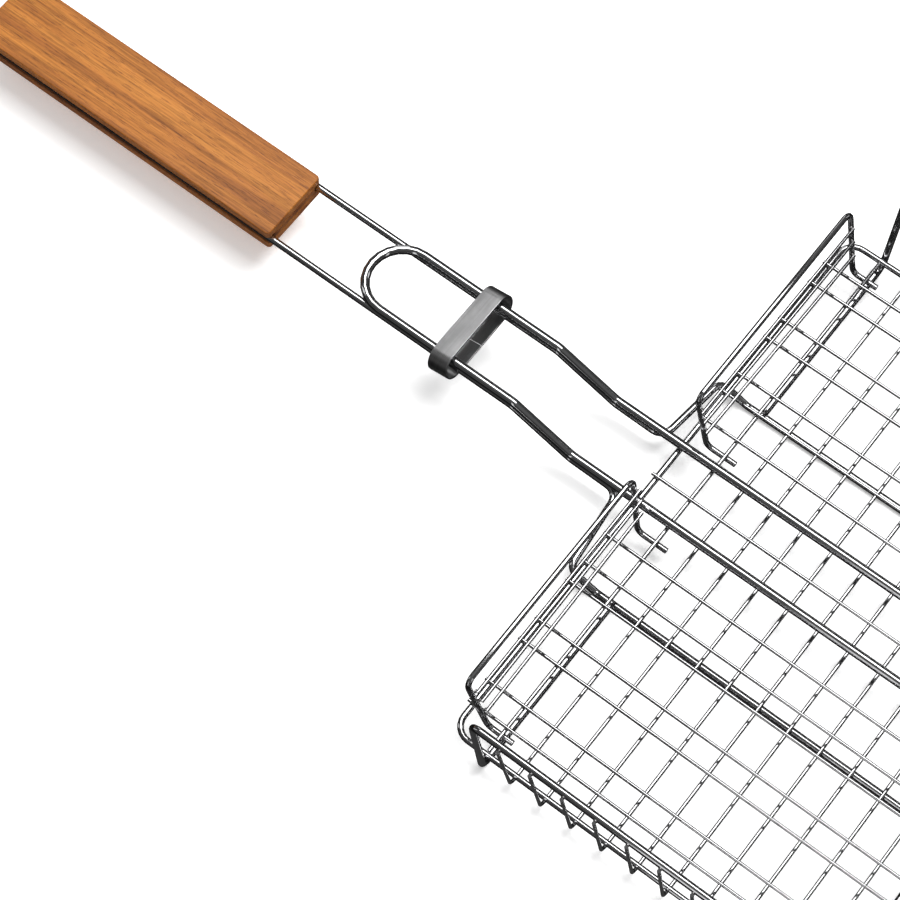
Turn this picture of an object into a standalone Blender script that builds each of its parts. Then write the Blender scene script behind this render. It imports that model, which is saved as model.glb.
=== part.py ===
"""Grill basket: a deep wire basket on a long handle, a hinged wire lid and a sliding lock ring.

The basket frame has +X towards the handle, +Y towards the basket's left side and +Z up. Its zero is
the middle of the lid frame's front wire. Dimensions are in millimetres, and one empty moves the whole
object so that the world origin is at the centre of its bounding box, on the ground.
"""

import math

import bmesh
import bpy
from mathutils import Vector

MM = 0.001
GAP = 0.3

# Wire radii
HEAVY_R = 2.4
LID_WIRE_R = 3.0
FRAME_R = 2.0
GUARD_R = 1.9
CROSS_R = 1.35
THIN_R = 1.15

# Lid grid
LID_HALF_WIDTH = 202.4
LID_DEPTH = 284.9
LID_CORNER_R = 11.0
LID_ROD_OVERHANG = 3.5
LID_ROD_Y = (0.0, 48.7, 70.5, 86.0, 116.5, 132.5, 164.5, 181.0)
GRID_SHIFT_Y = 2.2
LID_CROSS_INSET = 24.4

# Handle wires
HANDLE_HALF_SPACING = 23.0
HANDLE_KINK_FRONT_X = 92.6
HANDLE_KINK_BACK_X = 47.9
HANDLE_KINK_R = 12.0
HANDLE_TOP_Z = 22.5
HANDLE_LOW_Z = 16.8
LOW_KINK_SHIFT = 1.1
LOOP_END_X = 218.0
SHOULDER_X = 13.0
SHOULDER_SLANT = 5.5
SUPPORT_HALF_SPACING = 77.5

# Guards at the front of the lid: each leg's x and y at the rail and at its foot
GUARD_TOP_Z = 54.5
GUARD_FOOT_Z = -2.9
GUARD_INNER_LEG = ((-0.7, 32.2), (-10.5, 35.5))
GUARD_OUTER_LEG = ((-0.7, 190.9), (-13.8, 187.0))
GUARD_FOOT_END_X = -32.0
GUARD_RUNG_Z = (18.6, 31.7, 43.8)

# Basket body
WALL_TOP_Z = 85.0
WALL_LEAN = 0.11
WALL_CLEARANCE = 5.0
SIDE_LEG_X = (-24.5, -260.4)
FLOOR_ROD_FIRST_X = -44.8
FLOOR_ROD_PITCH = 21.7
FLOOR_ROD_COUNT = 10
FLOOR_ROD_Z = -7.0
FLOOR_ROD_CORNER_Y = 206.3
SUPPORT_Z = FLOOR_ROD_Z - THIN_R - GAP - HEAVY_R

# Hinge and far wall
HINGE_X = -295.9
HINGE_WIRE_HALF = 197.0
EYE_R = FRAME_R + GAP + LID_WIRE_R
FAR_LEG_Y = 192.0
FAR_LEAN = 0.2
FAR_OFFSET = 4.85
FAR_RUNG_Z = (21.0, 42.5, 64.0)

# Wooden grip
GRIP_START_X = 279.7
GRIP_LENGTH = 240.0
GRIP_HALF_WIDTH = 25.8
GRIP_HALF_THICKNESS = 9.3
GRIP_SPACER_HALF_WIDTH = HANDLE_HALF_SPACING - HEAVY_R - GAP
GRIP_WIRE_INSET = 15.0

# Lock ring
RING_CENTRE = (142.5, 0.0, 18.8)
RING_TILT = 12.0
RING_WIDTH = 14.4
RING_STRAIGHT_HALF = 23.4
RING_OUTER_R = 9.9
RING_THICKNESS = 1.2
RING_SEAM = 0.5

# Looks: colour, roughness, metallic
CHROME = ((0.63, 0.63, 0.64), 0.13, 1.0)
STEEL_STRAP = ((0.42, 0.42, 0.43), 0.34, 1.0)
OILED_WOOD = ((0.56, 0.27, 0.085), 0.5, 0.0)


def clear_scene():
    for obj in list(bpy.data.objects):
        bpy.data.objects.remove(obj, do_unlink=True)


def new_collection(name):
    made = bpy.data.collections.new(name)
    bpy.context.scene.collection.children.link(made)
    return made


def new_material(name, look):
    colour, roughness, metallic = look
    made = bpy.data.materials.new(name)
    made.use_nodes = True
    shader = made.node_tree.nodes["Principled BSDF"]
    shader.inputs["Base Color"].default_value = (*colour, 1.0)
    shader.inputs["Roughness"].default_value = roughness
    shader.inputs["Metallic"].default_value = metallic
    made.diffuse_color = (*colour, 1.0)
    return made


def new_empty(name, collection, at, parent=None, parent_at=(0.0, 0.0, 0.0)):
    """An empty at a point of the basket frame."""
    made = bpy.data.objects.new(name, None)
    made.empty_display_size = 0.02
    made.location = (Vector(at) - Vector(parent_at)) * MM
    made.parent = parent
    collection.objects.link(made)
    return made


class Group:
    """A collection, the empty that its pieces hang from, and where that empty is in the basket frame."""

    def __init__(self, collection, parent, at=(0.0, 0.0, 0.0)):
        self.collection = collection
        self.parent = parent
        self.at = Vector(at)

    def add(self, name, data, at, look):
        made = bpy.data.objects.new(name, data)
        made.location = (Vector(at) - self.at) * MM
        made.parent = self.parent
        data.materials.append(new_material(name, look))
        self.collection.objects.link(made)
        return made


def arc_points(corner, before, after, radius, steps):
    """The points of an arc of this radius that rounds one corner of a polyline."""
    to_before = (before - corner).normalized()
    to_after = (after - corner).normalized()
    half = to_before.angle(to_after) / 2
    centre = corner + (to_before + to_after).normalized() * (radius / math.sin(half))
    start = corner + to_before * (radius / math.tan(half)) - centre
    end = corner + to_after * (radius / math.tan(half)) - centre
    sweep = math.pi - 2 * half
    made = []
    for step in range(steps + 1):
        share = step / steps
        weights = math.sin((1 - share) * sweep), math.sin(share * sweep)
        made.append(centre + (start * weights[0] + end * weights[1]) / math.sin(sweep))
    return made


def without_repeats(points):
    made = [points[0]]
    for point in points[1:]:
        if (point - made[-1]).length > 0.01:
            made.append(point)
    return made


def rounded_path(points, radii, steps=5):
    """An open polyline with its inner corners rounded, one radius for each of them."""
    points = [Vector(p) for p in points]
    made = [points[0]]
    for before, corner, after, radius in zip(points, points[1:], points[2:], radii):
        made.extend(arc_points(corner, before, after, radius, steps))
    made.append(points[-1])
    return without_repeats(made)


def rounded_loop(points, radius, steps=6):
    """A closed polyline with every corner rounded."""
    points = [Vector(p) for p in points]
    made = []
    for index, corner in enumerate(points):
        after = points[(index + 1) % len(points)]
        made.extend(arc_points(corner, points[index - 1], after, radius, steps))
    return without_repeats(made)


def wire(group, name, points, radius, fine=False, closed=False):
    """A round wire along a polyline, with its object's origin at the first point."""
    points = [Vector(p) for p in points]
    curve = bpy.data.curves.new(name, "CURVE")
    curve.dimensions = "3D"
    curve.bevel_depth = radius * MM
    curve.bevel_resolution = 4 if fine else 2
    curve.use_fill_caps = not closed
    spline = curve.splines.new("POLY")
    spline.points.add(len(points) - 1)
    for target, point in zip(spline.points, points):
        target.co = (*((point - points[0]) * MM), 1.0)
    spline.use_cyclic_u = closed
    spline.use_smooth = True
    return group.add(name, curve, points[0], CHROME)


def side_wall_y(z):
    """The side rail's distance from the middle at this height: the walls lean outwards."""
    return LID_HALF_WIDTH + WALL_CLEARANCE + WALL_LEAN * z


def far_wall_x(z):
    return HINGE_X - FAR_OFFSET - FAR_LEAN * z


# Lid


def lid_frame(lid):
    corners = [
        (0.0, LID_HALF_WIDTH, 0.0),
        (0.0, -LID_HALF_WIDTH, 0.0),
        (-LID_DEPTH, -LID_HALF_WIDTH, 0.0),
        (-LID_DEPTH, LID_HALF_WIDTH, 0.0),
    ]
    wire(lid, "lid_frame", rounded_loop(corners, LID_CORNER_R), FRAME_R, fine=True, closed=True)


def lid_grid(lid):
    """The rods from front to back lie on the frame and on two cross rods that sit inside it."""
    rod_z = FRAME_R + GAP + THIN_R
    sides = [-y for y in reversed(LID_ROD_Y[1:])] + list(LID_ROD_Y)
    for number, from_middle in enumerate(sides, start=1):
        y = GRID_SHIFT_Y + from_middle
        ends = [(LID_ROD_OVERHANG, y, rod_z), (-LID_DEPTH - LID_ROD_OVERHANG, y, rod_z)]
        wire(lid, f"lid_rod_{number:02d}", ends, THIN_R)
    cross_z = rod_z - THIN_R - GAP - CROSS_R
    reach = LID_HALF_WIDTH - FRAME_R - GAP
    for name, x in (("front", -LID_CROSS_INSET), ("back", LID_CROSS_INSET - LID_DEPTH)):
        wire(lid, f"lid_cross_rod_{name}", [(x, -reach, cross_z), (x, reach, cross_z)], CROSS_R)


def lid_handle_wire(lid):
    """One wire: from an eye round the hinge, along the lid, round the loop over the handle and back."""
    eye = []
    for step in range(13):
        angle = math.radians(342 - 21 * step)
        eye.append((HINGE_X + EYE_R * math.cos(angle), EYE_R * math.sin(angle)))
    low = FRAME_R + GAP + LID_WIRE_R
    y = HANDLE_HALF_SPACING
    corners = [
        (HINGE_X + EYE_R, y, low),
        (HANDLE_KINK_BACK_X, y, low),
        (HANDLE_KINK_FRONT_X, y, HANDLE_TOP_Z),
        (LOOP_END_X, y, HANDLE_TOP_Z),
        (LOOP_END_X, -y, HANDLE_TOP_Z),
        (HANDLE_KINK_FRONT_X, -y, HANDLE_TOP_Z),
        (HANDLE_KINK_BACK_X, -y, low),
        (HINGE_X + EYE_R, -y, low),
    ]
    bend = HANDLE_KINK_R
    path = rounded_path(corners, [bend, bend, y - 0.01, y - 0.01, bend, bend], steps=6)
    left_eye = [Vector((ex, y, ez)) for ex, ez in eye]
    right_eye = [Vector((ex, -y, ez)) for ex, ez in reversed(eye)]
    wire(lid, "lid_handle_wire", left_eye + path + right_eye, LID_WIRE_R, fine=True)


def guard_corners():
    """The left guard's wire: a rail above the lid's front edge, and two feet under the cross rod."""
    inner_top, inner_foot = GUARD_INNER_LEG
    outer_top, outer_foot = GUARD_OUTER_LEG
    return [
        (GUARD_FOOT_END_X, inner_foot[1], GUARD_FOOT_Z),
        (*inner_foot, GUARD_FOOT_Z),
        (*inner_top, GUARD_TOP_Z),
        (*outer_top, GUARD_TOP_Z),
        (*outer_foot, GUARD_FOOT_Z),
        (GUARD_FOOT_END_X, outer_foot[1], GUARD_FOOT_Z),
    ]


def guard_rung_end(leg, z):
    """Where a rung meets a leg of the guard: level with z, on the leg's side towards the basket."""
    top, foot = leg
    share = (GUARD_TOP_Z - z) / (GUARD_TOP_Z - GUARD_FOOT_Z)
    lean = math.atan((top[0] - foot[0]) / (GUARD_TOP_Z - GUARD_FOOT_Z))
    x = top[0] + (foot[0] - top[0]) * share - (GUARD_R + GAP + THIN_R) / math.cos(lean)
    return Vector((x, top[1] + (foot[1] - top[1]) * share, z))


def lid_guards(lid):
    for name, side in (("left", 1), ("right", -1)):
        corners = [(x, side * y, z) for x, y, z in guard_corners()]
        path = rounded_path(corners, [6.0, 6.0, 6.0, 6.0])
        wire(lid, f"lid_guard_{name}", path, GUARD_R, fine=True)
        for number, z in enumerate(GUARD_RUNG_Z, start=1):
            inner = guard_rung_end(GUARD_INNER_LEG, z)
            outer = guard_rung_end(GUARD_OUTER_LEG, z)
            along = (outer - inner).normalized()
            ends = [inner - along * 2.0, outer - along * 2.0]
            ends = [(x, side * y, rung_z) for x, y, rung_z in ends]
            wire(lid, f"lid_guard_{name}_rung_{number}", ends, THIN_R)


# Basket body


def support_y(side):
    """Where the wire under the floor runs, for side 1 on the left and -1 on the right."""
    return GRID_SHIFT_Y + side * SUPPORT_HALF_SPACING


def base_handle_wires(base):
    """Each wire runs from the grip to the basket, along its front, under its floor and up its far wall."""
    for name, side in (("left", 1), ("right", -1)):
        y = side * HANDLE_HALF_SPACING
        floor_y = support_y(side)
        rail = Vector((far_wall_x(WALL_TOP_Z), floor_y, WALL_TOP_Z))
        floor_end = Vector((far_wall_x(SUPPORT_Z), floor_y, SUPPORT_Z))
        post_end = rail + (floor_end - rail).normalized() * (2 * HEAVY_R + GAP)
        corners = [
            (GRIP_START_X + GRIP_LENGTH - GRIP_WIRE_INSET, y, HANDLE_LOW_Z),
            (HANDLE_KINK_FRONT_X + LOW_KINK_SHIFT, y, HANDLE_LOW_Z),
            (HANDLE_KINK_BACK_X + LOW_KINK_SHIFT, y, -0.4),
            (SHOULDER_X, y, -1.6),
            (SHOULDER_X - SHOULDER_SLANT, floor_y, -3.4),
            (-13.0, floor_y, SUPPORT_Z),
            floor_end,
            post_end,
        ]
        radii = [HANDLE_KINK_R, HANDLE_KINK_R, 9.0, 7.0, 8.0, 8.0]
        wire(base, f"base_handle_wire_{name}", rounded_path(corners, radii), HEAVY_R, fine=True)


def base_side_rails(base):
    """Each side wall's wire: a rail with a leg at each end, whose feet turn in to the floor wires."""
    leg_y = side_wall_y(SUPPORT_Z)
    rail_y = side_wall_y(WALL_TOP_Z)
    front, back = SIDE_LEG_X
    for name, side in (("left", 1), ("right", -1)):
        foot_y = support_y(side) + side * (HEAVY_R + GAP)
        corners = [
            (front, foot_y, SUPPORT_Z),
            (front, side * leg_y, SUPPORT_Z),
            (front, side * rail_y, WALL_TOP_Z),
            (back, side * rail_y, WALL_TOP_Z),
            (back, side * leg_y, SUPPORT_Z),
            (back, foot_y, SUPPORT_Z),
        ]
        path = rounded_path(corners, [8.0, 7.0, 7.0, 8.0])
        wire(base, f"base_side_rail_{name}", path, HEAVY_R, fine=True)


def base_floor_rods(base):
    """Each thin rod crosses the floor and is bent up both side walls, outside the rails."""
    top_y = side_wall_y(WALL_TOP_Z) + (HEAVY_R + GAP + THIN_R) / math.cos(math.atan(WALL_LEAN))
    tip_z = WALL_TOP_Z + 0.5
    for number in range(FLOOR_ROD_COUNT):
        x = FLOOR_ROD_FIRST_X - FLOOR_ROD_PITCH * number
        corners = [
            (x, top_y, tip_z),
            (x, FLOOR_ROD_CORNER_Y, FLOOR_ROD_Z),
            (x, -FLOOR_ROD_CORNER_Y, FLOOR_ROD_Z),
            (x, -top_y, tip_z),
        ]
        wire(base, f"base_floor_rod_{number + 1:02d}", rounded_path(corners, [6.0, 6.0], steps=4), THIN_R)


def base_far_wall(base):
    """The far wall: a leaning frame with thin rungs outside it, and the hinge wire at lid level."""
    foot_x = SIDE_LEG_X[1] - HEAVY_R - GAP
    corners = [
        (foot_x, FAR_LEG_Y, SUPPORT_Z),
        (far_wall_x(SUPPORT_Z), FAR_LEG_Y, SUPPORT_Z),
        (far_wall_x(WALL_TOP_Z), FAR_LEG_Y, WALL_TOP_Z),
        (far_wall_x(WALL_TOP_Z), -FAR_LEG_Y, WALL_TOP_Z),
        (far_wall_x(SUPPORT_Z), -FAR_LEG_Y, SUPPORT_Z),
        (foot_x, -FAR_LEG_Y, SUPPORT_Z),
    ]
    wire(base, "base_far_frame", rounded_path(corners, [8.0, 9.0, 9.0, 8.0]), HEAVY_R, fine=True)
    reach = (HEAVY_R + GAP + THIN_R) / math.cos(math.atan(FAR_LEAN))
    for number, z in enumerate(FAR_RUNG_Z, start=1):
        x = far_wall_x(z) - reach
        ends = [(x, -FAR_LEG_Y - 4.0, z), (x, FAR_LEG_Y + 4.0, z)]
        wire(base, f"base_far_rung_{number}", ends, THIN_R)
    hinge = [(HINGE_X, -HINGE_WIRE_HALF, 0.0), (HINGE_X, HINGE_WIRE_HALF, 0.0)]
    wire(base, "base_hinge_wire", hinge, FRAME_R, fine=True)


def grip_board(base, name, half_width, low, high, corner):
    """One board of the grip: its upright corners are rounded, and a Bevel modifier eases its edges."""
    middle = (GRIP_START_X + GRIP_LENGTH / 2, 0.0, (low + high) / 2)
    shape = bmesh.new()
    bmesh.ops.create_cube(shape, size=1.0)
    size = Vector((GRIP_LENGTH, 2 * half_width, high - low)) * MM
    bmesh.ops.scale(shape, vec=size, verts=shape.verts)
    upright = [edge for edge in shape.edges if abs(edge.verts[0].co.z - edge.verts[1].co.z) > size.z / 2]
    bmesh.ops.bevel(shape, geom=upright, offset=corner * MM, segments=3, profile=0.5, affect="EDGES")
    mesh = bpy.data.meshes.new(name)
    shape.to_mesh(mesh)
    shape.free()
    board = base.add(name, mesh, middle, OILED_WOOD)
    ease = board.modifiers.new("eased_edges", "BEVEL")
    ease.width = 1.0 * MM
    ease.segments = 2
    ease.limit_method = "ANGLE"
    ease.angle_limit = math.radians(50)


def grip(base):
    """Two boards and a narrower one between them, which leaves a channel for each handle wire."""
    inner = HEAVY_R + GAP
    outer = GRIP_HALF_THICKNESS
    z = HANDLE_LOW_Z
    grip_board(base, "grip_board_top", GRIP_HALF_WIDTH, z + inner, z + outer, 2.5)
    grip_board(base, "grip_board_bottom", GRIP_HALF_WIDTH, z - outer, z - inner, 2.5)
    grip_board(base, "grip_spacer", GRIP_SPACER_HALF_WIDTH, z - HEAVY_R, z + HEAVY_R, 1.5)


# Lock ring


def ring_profile():
    """The strap's middle line in the YZ plane, from one side of the seam round to the other."""
    radius = RING_OUTER_R - RING_THICKNESS / 2
    points = [(RING_SEAM / 2, -radius)]
    for centre, first in ((RING_STRAIGHT_HALF, -90), (-RING_STRAIGHT_HALF, 90)):
        for step in range(11):
            angle = math.radians(first + 18 * step)
            points.append((centre + radius * math.cos(angle), radius * math.sin(angle)))
    points.append((-RING_SEAM / 2, -radius))
    return points


def lock_ring(group):
    """A steel strap bent round the handle wires, its ends meeting underneath. It hangs a little askew."""
    half = RING_WIDTH / 2
    shape = bmesh.new()
    row = [shape.verts.new(Vector((-half, y, z)) * MM) for y, z in ring_profile()]
    edges = [shape.edges.new(pair) for pair in zip(row, row[1:])]
    swept = bmesh.ops.extrude_edge_only(shape, edges=edges)
    moved = [item for item in swept["geom"] if isinstance(item, bmesh.types.BMVert)]
    bmesh.ops.translate(shape, vec=Vector((2 * half, 0.0, 0.0)) * MM, verts=moved)
    bmesh.ops.recalc_face_normals(shape, faces=shape.faces)
    mesh = bpy.data.meshes.new("lock_ring")
    shape.to_mesh(mesh)
    shape.free()
    mesh.shade_smooth()
    ring = group.add("lock_ring", mesh, RING_CENTRE, STEEL_STRAP)
    ring.rotation_euler = (0.0, math.radians(RING_TILT), 0.0)
    thick = ring.modifiers.new("strap_thickness", "SOLIDIFY")
    thick.thickness = RING_THICKNESS * MM
    thick.offset = 0.0
    thick.use_even_offset = True
    ease = ring.modifiers.new("eased_edges", "BEVEL")
    ease.width = 0.25 * MM
    ease.segments = 2
    ease.limit_method = "ANGLE"
    ease.angle_limit = math.radians(50)


def main():
    clear_scene()
    collection = new_collection("grill_basket")
    low_x = far_wall_x(WALL_TOP_Z) - HEAVY_R
    high_x = GRIP_START_X + GRIP_LENGTH
    root = new_empty("grill_basket_origin", collection, (-(low_x + high_x) / 2, 0.0, HEAVY_R - SUPPORT_Z))
    hinge_at = (HINGE_X, 0.0, 0.0)
    hinge = new_empty("lid_hinge", collection, hinge_at, parent=root)
    base = Group(collection, root)
    lid = Group(collection, hinge, hinge_at)
    lid_frame(lid)
    lid_grid(lid)
    lid_handle_wire(lid)
    lid_guards(lid)
    base_handle_wires(base)
    base_side_rails(base)
    base_floor_rods(base)
    base_far_wall(base)
    grip(base)
    lock_ring(base)


main()
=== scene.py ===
"""Grill basket: plated wires with weld beads, a worn steel strap and a grained wooden grip."""

import math

import bmesh
import bpy
from mathutils import Matrix, Vector, noise

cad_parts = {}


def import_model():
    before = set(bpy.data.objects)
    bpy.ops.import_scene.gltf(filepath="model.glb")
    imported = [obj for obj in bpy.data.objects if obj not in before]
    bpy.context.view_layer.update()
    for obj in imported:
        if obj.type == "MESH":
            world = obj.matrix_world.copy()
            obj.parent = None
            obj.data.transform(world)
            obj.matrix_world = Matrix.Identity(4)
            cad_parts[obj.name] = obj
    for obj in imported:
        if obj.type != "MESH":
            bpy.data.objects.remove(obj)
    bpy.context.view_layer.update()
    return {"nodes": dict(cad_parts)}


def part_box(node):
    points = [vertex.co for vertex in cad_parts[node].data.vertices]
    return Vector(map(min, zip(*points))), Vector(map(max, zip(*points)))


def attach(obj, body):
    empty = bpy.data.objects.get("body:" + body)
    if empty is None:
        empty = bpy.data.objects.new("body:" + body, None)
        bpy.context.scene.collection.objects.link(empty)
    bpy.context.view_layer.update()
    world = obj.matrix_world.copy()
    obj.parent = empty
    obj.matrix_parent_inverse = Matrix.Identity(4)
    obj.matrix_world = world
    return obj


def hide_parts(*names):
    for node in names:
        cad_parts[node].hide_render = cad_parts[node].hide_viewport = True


MM = 0.001

# Camera
CAMERA_TARGET = Vector((0.0099, 0.0630, 0.01325))
CAMERA_AZIMUTH = 127.844
CAMERA_ELEVATION = 65.811
CAMERA_ROLL = -0.197
CAMERA_DISTANCE = 1.71315
CAMERA_LENS = 113.496
SENSOR_WIDTH = 36.0

# Grip boards
BOARD_CORNER = 2.6
BOARD_EASE = 1.1
BOARD_HALF_WIDTH = 26.0
SPACER_CORNER = 1.2
SPACER_EASE = 0.3

# Wires: radii, half the gap kept where two of them touch, and where the welded ones stand
LID_WIRE_R = 3.0
HEAVY_R = 2.4
HALF_GAP = 0.15
GUARD_LEG_Y = (35.5, 187.0)
FAR_LEG_Y = 192.0
RUNG_OVERHANG = 4.0
BEAD_SIZE = (1.15, 1.0, 0.62)
BEAD_SEED_STEP = 0.37

# Strap
STRAP_WIDTH = 14.4
STRAP_STRAIGHT_HALF = 23.4
STRAP_OUTER_R = 9.9
STRAP_THICKNESS = 1.2
STRAP_SEAM = 0.5
STRAP_TILT = 12.0
STRAP_EASE = 0.32
STRAP_BEND_STEPS = 20
EASED_ABOVE = math.radians(50)

SMOOTH_BELOW = math.radians(62)

# Stage. A room tone is a direction's height, from -1 straight down to 1 straight up, and the
# brightness that the wires mirror there
FLOOR_HALF = 30.0
PANEL_COUNT = 5
PANEL_FIRST = 22.0
PANEL_AWAY = 2.3
PANEL_HEIGHT = 0.95
PANEL_SIZE = (0.42, 1.5)
PANEL_POWER = 1.9
BACKDROP = (0.90, 0.90, 0.90, 1.0)
ROOM_TONES = (
    (-1.0, 0.05),
    (-0.6, 0.012),
    (-0.05, 0.008),
    (0.02, 0.05),
    (0.12, 0.12),
    (0.4, 0.03),
    (1.0, 0.14),
)


# Materials


class Shader:
    """A material with one Principled shader, and short calls that add nodes to it."""

    def __init__(self, name):
        self.material = bpy.data.materials.new(name)
        self.material.use_nodes = True
        self.tree = self.material.node_tree
        self.bsdf = self.tree.nodes["Principled BSDF"]

    def node(self, kind, **values):
        made = self.tree.nodes.new(kind)
        for key, value in values.items():
            if hasattr(made, key):
                setattr(made, key, value)
            else:
                made.inputs[key.replace("_", " ")].default_value = value
        return made

    def link(self, output, target):
        self.tree.links.new(output, target)

    def place(self, scale):
        """The object's own coordinates in metres, scaled along each axis."""
        where = self.node("ShaderNodeTexCoord")
        mapping = self.node("ShaderNodeMapping")
        mapping.inputs["Scale"].default_value = scale
        self.link(where.outputs["Object"], mapping.inputs["Vector"])
        return mapping.outputs["Vector"]

    def noise(self, at, scale, detail=2.0, roughness=0.5, distortion=0.0):
        made = self.node("ShaderNodeTexNoise")
        made.inputs["Scale"].default_value = scale
        made.inputs["Detail"].default_value = detail
        made.inputs["Roughness"].default_value = roughness
        made.inputs["Distortion"].default_value = distortion
        self.link(at, made.inputs["Vector"])
        return made.outputs["Fac"]

    def ramp(self, value, *stops):
        made = self.node("ShaderNodeValToRGB")
        stops_in = made.color_ramp.elements
        while len(stops_in) < len(stops):
            stops_in.new(0.5)
        for element, (at, colour) in zip(stops_in, stops):
            element.position = at
            tone = colour if hasattr(colour, "__len__") else (colour, colour, colour)
            element.color = (*tone, 1.0)
        self.link(value, made.inputs["Fac"])
        return made.outputs["Color"]

    def mix(self, share, a, b, blend="MIX"):
        """Mixes two colours. Each of the three is a socket or a value."""
        made = self.node("ShaderNodeMix", data_type="RGBA", blend_type=blend)
        for socket, given in ((made.inputs[0], share), (made.inputs[6], a), (made.inputs[7], b)):
            if isinstance(given, bpy.types.NodeSocket):
                self.link(given, socket)
            elif hasattr(given, "__len__"):
                socket.default_value = (*given, 1.0)
            else:
                socket.default_value = given
        return made.outputs[2]

    def maths(self, operation, a, b):
        made = self.node("ShaderNodeMath", operation=operation)
        for socket, given in zip(made.inputs, (a, b)):
            if isinstance(given, bpy.types.NodeSocket):
                self.link(given, socket)
            else:
                socket.default_value = given
        return made.outputs[0]

    def bump(self, height, strength, distance, after=None):
        made = self.node("ShaderNodeBump")
        made.inputs["Strength"].default_value = strength
        made.inputs["Distance"].default_value = distance
        self.link(height, made.inputs["Height"])
        if after is not None:
            self.link(after, made.inputs["Normal"])
        return made.outputs["Normal"]


def chrome(name, base, smudge, low_rough, high_rough, ripple=0.0):
    """Bright plating with faint smudges in colour and gloss, and a rippled surface where it is asked for."""
    made = Shader(name)
    made.bsdf.inputs["Metallic"].default_value = 1.0
    at = made.place((1.0, 1.0, 1.0))
    cloud = made.noise(at, 55.0, 4.0, 0.6)
    made.link(made.ramp(cloud, (0.35, smudge), (0.62, base)), made.bsdf.inputs["Base Color"])
    haze = made.noise(at, 140.0, 3.0, 0.7)
    made.link(made.ramp(haze, (0.3, low_rough), (0.75, high_rough)), made.bsdf.inputs["Roughness"])
    if ripple:
        fine = made.noise(at, 700.0, 2.0, 0.5)
        made.link(made.bump(fine, ripple, 0.0001), made.bsdf.inputs["Normal"])
    return made.material


def strap_steel():
    """Rolled plated strap: brushed along its length and unevenly dulled by handling."""
    made = Shader("strap_steel")
    made.bsdf.inputs["Metallic"].default_value = 1.0
    brushed = made.noise(made.place((900.0, 24.0, 24.0)), 1.0, 3.0, 0.6)
    cloud = made.noise(made.place((1.0, 1.0, 1.0)), 90.0, 4.0, 0.55)
    tone = made.ramp(cloud, (0.3, (0.47, 0.47, 0.475)), (0.7, (0.60, 0.60, 0.605)))
    streaks = made.ramp(brushed, (0.3, 0.86), (0.7, 1.0))
    made.link(made.mix(1.0, tone, streaks, "MULTIPLY"), made.bsdf.inputs["Base Color"])
    made.link(made.ramp(brushed, (0.25, 0.27), (0.8, 0.40)), made.bsdf.inputs["Roughness"])
    made.link(made.bump(brushed, 0.12, 0.00005), made.bsdf.inputs["Normal"])
    return made.material


def oiled_wood(name, shift, tint):
    """Oiled hardwood, grained along the grip: bands, fine fibres, dark pores, painted shade along the long
    edges and darker end grain.
    """
    made = Shader(name)
    where = made.node("ShaderNodeTexCoord")
    mapping = made.node("ShaderNodeMapping")
    mapping.inputs["Location"].default_value = shift
    made.link(where.outputs["Object"], mapping.inputs["Vector"])
    base = mapping.outputs["Vector"]

    def stretched(scale):
        step = made.node("ShaderNodeMapping")
        step.inputs["Scale"].default_value = scale
        made.link(base, step.inputs["Vector"])
        return step.outputs["Vector"]

    bands = made.noise(stretched((3.2, 95.0, 60.0)), 1.0, 3.0, 0.55, 0.6)
    fibres = made.noise(stretched((22.0, 900.0, 900.0)), 1.0, 3.0, 0.65, 0.15)
    pores = made.noise(stretched((120.0, 2300.0, 2300.0)), 1.0, 2.0, 0.5)
    drift = made.noise(stretched((6.0, 22.0, 22.0)), 1.0, 2.0, 0.5)
    dark = tuple(c * t for c, t in zip((0.26, 0.080, 0.013), tint))
    middle = tuple(c * t for c, t in zip((0.47, 0.175, 0.031), tint))
    light = tuple(c * t for c, t in zip((0.61, 0.255, 0.058), tint))
    colour = made.ramp(bands, (0.28, dark), (0.47, middle), (0.68, light))
    fibre_tone = made.ramp(fibres, (0.3, 0.50), (0.60, 1.12))
    colour = made.mix(0.85, colour, fibre_tone, "MULTIPLY")
    drift_tone = made.ramp(drift, (0.3, (0.88, 0.84, 0.78)), (0.7, (1.06, 1.04, 1.0)))
    colour = made.mix(1.0, colour, drift_tone, "MULTIPLY")
    pore_tone = made.ramp(pores, (0.33, (0.30, 0.21, 0.14)), (0.42, (1.0, 1.0, 1.0)))
    colour = made.mix(0.75, colour, pore_tone, "MULTIPLY")
    # Painted shade: the colour darkens towards the long edges, standing in for the shade on the eased edges
    across = made.node("ShaderNodeSeparateXYZ")
    made.link(where.outputs["Object"], across.inputs[0])
    sideways = made.maths("ABSOLUTE", across.outputs["Y"], 0.0)
    from_middle = made.maths("MULTIPLY", sideways, 1.0 / (BOARD_HALF_WIDTH * MM))
    painted_edge_shade = made.ramp(from_middle, (0.70, (1.0, 1.0, 1.0)), (0.98, (0.70, 0.62, 0.52)))
    colour = made.mix(1.0, colour, painted_edge_shade, "MULTIPLY")
    facing = made.node("ShaderNodeSeparateXYZ")
    made.link(where.outputs["Normal"], facing.inputs[0])
    end = made.maths("POWER", made.maths("ABSOLUTE", facing.outputs["X"], 0.0), 4.0)
    colour = made.mix(end, colour, made.mix(1.0, colour, (0.80, 0.74, 0.66), "MULTIPLY"))
    made.link(colour, made.bsdf.inputs["Base Color"])
    made.link(made.ramp(fibres, (0.3, 0.56), (0.7, 0.42)), made.bsdf.inputs["Roughness"])
    made.bsdf.inputs["Specular IOR Level"].default_value = 0.42
    relief = made.bump(fibres, 0.35, 0.00012)
    made.link(made.bump(pores, 0.25, 0.0001, after=relief), made.bsdf.inputs["Normal"])
    return made.material


# Wires


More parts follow.
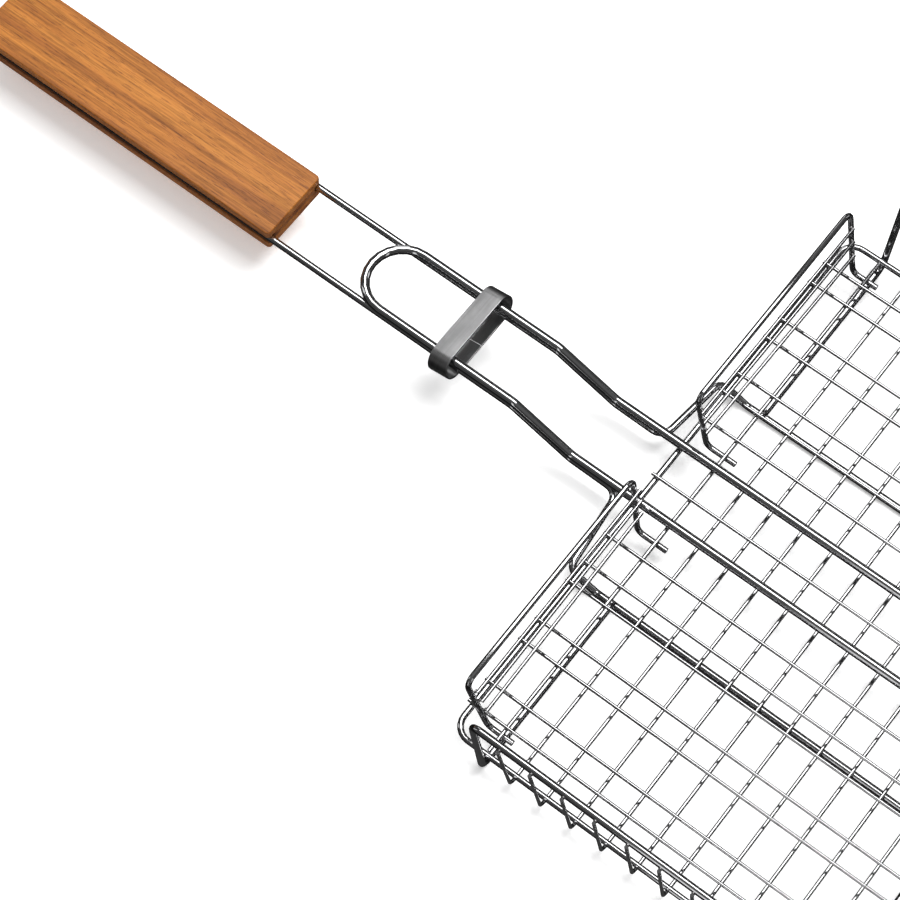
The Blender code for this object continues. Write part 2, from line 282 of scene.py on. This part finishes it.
def wire_smoothing():
    """Geometry nodes that join a wire's loose facets and shade it round, sharp at its cut ends."""
    tree = bpy.data.node_groups.new("wire_smoothing", "GeometryNodeTree")
    tree.interface.new_socket("Geometry", in_out="INPUT", socket_type="NodeSocketGeometry")
    tree.interface.new_socket("Geometry", in_out="OUTPUT", socket_type="NodeSocketGeometry")
    start = tree.nodes.new("NodeGroupInput")
    end = tree.nodes.new("NodeGroupOutput")
    clear = tree.nodes.new("GeometryNodeRemoveAttribute")
    clear.inputs["Name"].default_value = "custom_normal"
    joined = tree.nodes.new("GeometryNodeMergeByDistance")
    joined.inputs["Distance"].default_value = 0.002 * MM
    faces = tree.nodes.new("GeometryNodeSetShadeSmooth")
    edges = tree.nodes.new("GeometryNodeSetShadeSmooth")
    edges.domain = "EDGE"
    angle = tree.nodes.new("GeometryNodeInputMeshEdgeAngle")
    shallow = tree.nodes.new("FunctionNodeCompare")
    shallow.data_type = "FLOAT"
    shallow.operation = "LESS_THAN"
    shallow.inputs[1].default_value = SMOOTH_BELOW
    links = (
        (start.outputs[0], clear.inputs["Geometry"]),
        (clear.outputs[0], joined.inputs["Geometry"]),
        (joined.outputs[0], faces.inputs["Geometry"]),
        (faces.outputs[0], edges.inputs["Geometry"]),
        (angle.outputs["Unsigned Angle"], shallow.inputs[0]),
        (shallow.outputs[0], edges.inputs["Shade Smooth"]),
        (edges.outputs[0], end.inputs[0]),
    )
    for output, target in links:
        tree.links.new(output, target)
    return tree


def finish_wires(nodes, looks):
    """Gives each packed wire its plating and its round shading."""
    tree = wire_smoothing()
    for name, node in nodes.items():
        if name.startswith("grip") or name == "lock_ring":
            continue
        slot = node.material_slots[0]
        slot.material = looks["thin" if "rod" in name or "rung" in name else "thick"]
        node.modifiers.new("round_shading", "NODES").node_group = tree


def add_bead(shape, at, along, across, size, seed):
    """One weld bead: a small flattened lump, uneven as where two wires were pressed together."""
    x = Vector(along).normalized()
    z = x.cross(Vector(across)).normalized()
    y = z.cross(x)
    turn = Matrix((x, y, z)).transposed().to_4x4()
    made = bmesh.ops.create_icosphere(shape, subdivisions=2, radius=1.0)["verts"]
    for vert in made:
        lump = 1.0 + 0.16 * noise.noise(vert.co * 1.7 + Vector((seed, 2.0 * seed, 0.5 * seed)))
        vert.co = Vector((vert.co.x * size[0], vert.co.y * size[1], vert.co.z * size[2])) * (lump * MM)
    bmesh.ops.transform(shape, matrix=Matrix.Translation(at) @ turn, verts=made)


def new_piece(name, shape, body, material):
    mesh = bpy.data.meshes.new(name)
    shape.to_mesh(mesh)
    shape.free()
    mesh.shade_smooth()
    mesh.materials.append(material)
    made = bpy.data.objects.new(name, mesh)
    bpy.context.scene.collection.objects.link(made)
    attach(made, body)
    return made


def middle(node):
    low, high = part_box(node)
    return (low + high) / 2


def lid_weld_points(names):
    """Where the lid's wires cross: each point with the directions of its two wires."""
    points = []
    frame_low, frame_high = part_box("lid_frame")
    rod_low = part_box("lid_rod_08")[0].z
    frame_r = (frame_high.z - frame_low.z) / 2
    fronts = [frame_high.x - frame_r, frame_low.x + frame_r]
    crosses = [middle("lid_cross_rod_front").x, middle("lid_cross_rod_back").x]
    for name in names:
        if name.startswith("lid_rod"):
            y = middle(name).y
            for x in fronts + crosses:
                points.append((Vector((x, y, rod_low - HALF_GAP * MM)), (1, 0, 0), (0, 1, 0), 1.0))
    handle_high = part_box("lid_handle_wire")[1]
    for side in (-1, 1):
        y = side * (handle_high.y - LID_WIRE_R * MM)
        for x in fronts + crosses:
            points.append((Vector((x, y, frame_high.z + HALF_GAP * MM)), (1, 0, 0), (0, 1, 0), 1.5))
    cross_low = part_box("lid_cross_rod_front")[0].z
    for side in ("left", "right"):
        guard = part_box(f"lid_guard_{side}")
        sign = 1 if side == "left" else -1
        for number in (1, 2, 3):
            low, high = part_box(f"lid_guard_{side}_rung_{number}")
            z = (low.z + high.z) / 2
            inner_y, outer_y = (low.y, high.y) if sign > 0 else (high.y, low.y)
            slope = (z - guard[0].z) / (guard[1].z - guard[0].z)
            back_of_inner = Vector((high.x + HALF_GAP * MM, inner_y + sign * 2.0 * MM, z))
            back_of_outer = Vector((low.x + 2.45 * MM, outer_y - sign * 0.2 * MM, z))
            points.append((back_of_inner, (0, 1, 0), (slope, 0, 1), 1.1))
            points.append((back_of_outer, (0, 1, 0), (slope, 0, 1), 1.1))
        for reach in GUARD_LEG_Y:
            at = Vector((crosses[0], sign * reach * MM, cross_low - HALF_GAP * MM))
            points.append((at, (1, 0, 0), (0, 1, 0), 1.2))
    return points


def base_weld_points(names):
    """Where the basket's wires cross: under the floor, at the side rails and across the far wall."""
    points = []
    heavy_r = HEAVY_R * MM
    supports = []
    for side in ("left", "right"):
        low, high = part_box(f"base_handle_wire_{side}")
        supports.append(high.y - heavy_r if side == "left" else low.y + heavy_r)
    rail_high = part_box("base_side_rail_left")[1]
    for name in names:
        if name.startswith("base_floor_rod"):
            low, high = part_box(name)
            x = (low.x + high.x) / 2
            for y in supports:
                points.append((Vector((x, y, low.z - HALF_GAP * MM)), (0, 1, 0), (1, 0, 0), 1.3))
            for sign in (-1, 1):
                at = Vector((x, sign * (rail_high.y + HALF_GAP * MM), rail_high.z - heavy_r))
                points.append((at, (0, 0, 1), (1, 0, 0), 1.3))
        if name.startswith("base_far_rung"):
            low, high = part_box(name)
            x = high.x + 0.05 * MM
            z = (low.z + high.z) / 2
            ends = [low.y + RUNG_OVERHANG * MM, high.y - RUNG_OVERHANG * MM]
            for y in ends + supports:
                points.append((Vector((x, y, z)), (0, 1, 0), (0, 0, 1), 1.3))
    far_low, far_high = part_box("base_far_frame")
    for y in supports:
        at = Vector((far_low.x + heavy_r + 0.6 * MM, y, far_high.z - 2 * heavy_r - 2 * HALF_GAP * MM))
        points.append((at, (0, 1, 0), (1, 0, 0), 1.7))
    for sign in (-1, 1):
        y = sign * FAR_LEG_Y * MM
        at = Vector((middle("base_hinge_wire").x - 2.3 * MM, y, middle("base_hinge_wire").z))
        points.append((at, (0, 1, 0), (0, 0, 1), 1.5))
    for rail in ("left", "right"):
        low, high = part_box(f"base_side_rail_{rail}")
        y = low.y - HALF_GAP * MM if rail == "left" else high.y + HALF_GAP * MM
        for x in (low.x + heavy_r, high.x - heavy_r):
            points.append((Vector((x, y, low.z + heavy_r)), (1, 0, 0), (0, 0, 1), 1.6))
    return points


def weld_beads(name, points, body, material):
    shape = bmesh.new()
    length, width, height = BEAD_SIZE
    for index, (at, along, across, scale) in enumerate(points):
        size = (length * scale, width * scale, height)
        add_bead(shape, at, along, across, size, BEAD_SEED_STEP * index)
    new_piece(name, shape, body, material)


# Grip


def grip_board(node, corner, ease, material):
    """One board in its packed place, with rounded upright corners and eased long edges."""
    low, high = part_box(node)
    size = high - low
    shape = bmesh.new()
    bmesh.ops.create_cube(shape, size=1.0)
    bmesh.ops.scale(shape, vec=size, verts=shape.verts)
    upright = [edge for edge in shape.edges if abs(edge.verts[0].co.z - edge.verts[1].co.z) > size.z / 2]
    bmesh.ops.bevel(shape, geom=upright, offset=corner * MM, segments=6, profile=0.5, affect="EDGES")
    rims = [edge for edge in shape.edges if abs(edge.verts[0].co.z - edge.verts[1].co.z) < 0.01 * MM]
    bmesh.ops.bevel(shape, geom=rims, offset=ease * MM, segments=4, profile=0.55, affect="EDGES")
    bmesh.ops.translate(shape, vec=(low + high) / 2, verts=shape.verts)
    made = new_piece(node + "_wood", shape, "base", material)
    weighted = made.modifiers.new("flat_faces", "WEIGHTED_NORMAL")
    weighted.keep_sharp = True
    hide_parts(node)


def grip(looks):
    grip_board("grip_board_top", BOARD_CORNER, BOARD_EASE, looks["wood_top"])
    grip_board("grip_board_bottom", BOARD_CORNER, BOARD_EASE, looks["wood_bottom_painted_shade"])
    grip_board("grip_spacer", SPACER_CORNER, SPACER_EASE, looks["wood_spacer_painted_shade"])


# Strap


def strap_outline():
    """The strap's middle line in the YZ plane, from one side of the seam round to the other."""
    radius = STRAP_OUTER_R - STRAP_THICKNESS / 2
    points = [(STRAP_SEAM / 2, -radius)]
    for centre, first in ((STRAP_STRAIGHT_HALF, -90), (-STRAP_STRAIGHT_HALF, 90)):
        for step in range(STRAP_BEND_STEPS + 1):
            angle = math.radians(first + 180 * step / STRAP_BEND_STEPS)
            points.append((centre + radius * math.cos(angle), radius * math.sin(angle)))
    points.append((-STRAP_SEAM / 2, -radius))
    return points


def strap(looks):
    half = STRAP_WIDTH / 2
    shape = bmesh.new()
    row = [shape.verts.new(Vector((-half, y, z)) * MM) for y, z in strap_outline()]
    edges = [shape.edges.new(pair) for pair in zip(row, row[1:])]
    swept = bmesh.ops.extrude_edge_only(shape, edges=edges)
    moved = [item for item in swept["geom"] if isinstance(item, bmesh.types.BMVert)]
    bmesh.ops.translate(shape, vec=Vector((2 * half, 0.0, 0.0)) * MM, verts=moved)
    bmesh.ops.recalc_face_normals(shape, faces=shape.faces)
    turn = Matrix.Translation(middle("lock_ring")) @ Matrix.Rotation(math.radians(STRAP_TILT), 4, "Y")
    bmesh.ops.transform(shape, matrix=turn, verts=shape.verts)
    made = new_piece("lock_ring_strap", shape, "lock_ring", looks["strap"])
    thick = made.modifiers.new("thickness", "SOLIDIFY")
    thick.thickness = STRAP_THICKNESS * MM
    thick.offset = 0.0
    thick.use_even_offset = True
    ease = made.modifiers.new("eased_edges", "BEVEL")
    ease.width = STRAP_EASE * MM
    ease.segments = 3
    ease.limit_method = "ANGLE"
    ease.angle_limit = EASED_ABOVE
    made.modifiers.new("flat_faces", "WEIGHTED_NORMAL")
    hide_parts("lock_ring")


# Stage


def make_camera():
    azimuth, elevation, roll = (math.radians(a) for a in (CAMERA_AZIMUTH, CAMERA_ELEVATION, CAMERA_ROLL))
    flat = math.cos(elevation)
    back = Vector((flat * math.cos(azimuth), flat * math.sin(azimuth), math.sin(elevation)))
    level = Vector((0.0, 0.0, 1.0)).cross(back).normalized()
    upright = back.cross(level)
    right = level * math.cos(roll) + upright * math.sin(roll)
    up = upright * math.cos(roll) - level * math.sin(roll)
    data = bpy.data.cameras.new("camera")
    data.lens = CAMERA_LENS
    data.sensor_width = SENSOR_WIDTH
    data.clip_start = 0.05
    camera = bpy.data.objects.new("camera", data)
    turn = Matrix((right, up, back)).transposed().to_4x4()
    camera.matrix_world = Matrix.Translation(CAMERA_TARGET + back * CAMERA_DISTANCE) @ turn
    bpy.context.scene.collection.objects.link(camera)
    bpy.context.scene.camera = camera


def add_light(name, kind, at, towards, power):
    data = bpy.data.lights.new(name, kind)
    data.energy = power
    lamp = bpy.data.objects.new(name, data)
    lamp.location = at
    lamp.rotation_euler = (Vector(towards) - Vector(at)).to_track_quat("-Z", "Y").to_euler()
    bpy.context.scene.collection.objects.link(lamp)
    return lamp


def softbox(name, at, towards, width, height, power):
    lamp = add_light(name, "AREA", at, towards, power)
    lamp.data.shape = "RECTANGLE"
    lamp.data.size = width
    lamp.data.size_y = height


def wash(name, at, angle, power):
    """A broad, even light on the floor and the wood, which the wires don't mirror."""
    lamp = add_light(name, "SUN", at, (0.0, 0.0, 0.0), power)
    lamp.data.angle = math.radians(angle)
    lamp.visible_glossy = False


def make_floor():
    shape = bmesh.new()
    bmesh.ops.create_grid(shape, x_segments=1, y_segments=1, size=FLOOR_HALF)
    mesh = bpy.data.meshes.new("floor")
    shape.to_mesh(mesh)
    shape.free()
    floor = bpy.data.objects.new("floor", mesh)
    bpy.context.scene.collection.objects.link(floor)
    paper = Shader("floor_paper")
    paper.bsdf.inputs["Base Color"].default_value = (0.93, 0.93, 0.93, 1.0)
    paper.bsdf.inputs["Roughness"].default_value = 0.9
    paper.bsdf.inputs["Emission Color"].default_value = (1.0, 1.0, 1.0, 1.0)
    paper.bsdf.inputs["Emission Strength"].default_value = 0.30
    mesh.materials.append(paper.material)
    floor.visible_glossy = False


def studio_world():
    """A pale backdrop to look at, and a dim room with a lighter band and ceiling to mirror."""
    world = bpy.data.worlds.new("studio")
    world.use_nodes = True
    tree = world.node_tree
    where = tree.nodes.new("ShaderNodeTexCoord")
    split = tree.nodes.new("ShaderNodeSeparateXYZ")
    half = tree.nodes.new("ShaderNodeMath")
    half.operation = "MULTIPLY_ADD"
    half.inputs[1].default_value = 0.5
    half.inputs[2].default_value = 0.5
    ramp = tree.nodes.new("ShaderNodeValToRGB")
    while len(ramp.color_ramp.elements) < len(ROOM_TONES):
        ramp.color_ramp.elements.new(0.5)
    for element, (height, value) in zip(ramp.color_ramp.elements, ROOM_TONES):
        element.position = (height + 1.0) / 2.0
        element.color = (value, value, value, 1.0)
    seen = tree.nodes.new("ShaderNodeLightPath")
    choice = tree.nodes.new("ShaderNodeMix")
    choice.data_type = "RGBA"
    choice.inputs[7].default_value = BACKDROP
    tree.links.new(where.outputs["Generated"], split.inputs[0])
    tree.links.new(split.outputs["Z"], half.inputs[0])
    tree.links.new(half.outputs[0], ramp.inputs["Fac"])
    tree.links.new(seen.outputs["Is Camera Ray"], choice.inputs[0])
    tree.links.new(ramp.outputs["Color"], choice.inputs[6])
    tree.links.new(choice.outputs[2], tree.nodes["Background"].inputs["Color"])
    return world


def make_stage():
    make_floor()
    bpy.context.scene.world = studio_world()
    bpy.context.scene.view_settings.view_transform = "Standard"
    softbox("overhead", (0.25, -0.60, 1.80), (0.25, -0.60, 0.0), 1.8, 0.9, 24.0)
    for number in range(PANEL_COUNT):
        angle = math.radians(PANEL_FIRST + 360.0 / PANEL_COUNT * number)
        at = (PANEL_AWAY * math.cos(angle), PANEL_AWAY * math.sin(angle), PANEL_HEIGHT)
        softbox(f"panel_{number + 1}", at, (0.0, 0.0, 0.25), *PANEL_SIZE, PANEL_POWER)
    wash("key", (-0.45, -1.25, 1.75), 30.0, 1.9)
    wash("sky", (0.05, -0.10, 2.0), 110.0, 1.0)


def main():
    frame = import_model()
    nodes = frame["nodes"]
    make_camera()
    looks = {
        "thick": chrome("chrome_thick", (0.66, 0.66, 0.67), (0.58, 0.58, 0.59), 0.06, 0.10),
        "thin": chrome("chrome_thin", (0.68, 0.68, 0.69), (0.60, 0.60, 0.61), 0.08, 0.13),
        "weld": chrome("chrome_weld", (0.50, 0.49, 0.49), (0.34, 0.33, 0.33), 0.16, 0.32, 0.25),
        "strap": strap_steel(),
        "wood_top": oiled_wood("wood_top", (0.0, 0.0, 0.0), (0.88, 0.82, 0.52)),
        # The bottom board and the spacer get darker copies of the top board's wood tint: painted shade on
        # the lower board beneath the top one and in the recessed channel between the boards
        "wood_bottom_painted_shade": oiled_wood("wood_bottom_painted_shade", (0.31, 0.07, 0.02), (0.79, 0.72, 0.44)),
        "wood_spacer_painted_shade": oiled_wood("wood_spacer_painted_shade", (0.63, 0.13, 0.05), (0.53, 0.45, 0.26)),
    }
    finish_wires(nodes, looks)
    weld_beads("lid_welds", lid_weld_points(nodes), "lid", looks["weld"])
    weld_beads("base_welds", base_weld_points(nodes), "base", looks["weld"])
    grip(looks)
    strap(looks)
    make_stage()


main()
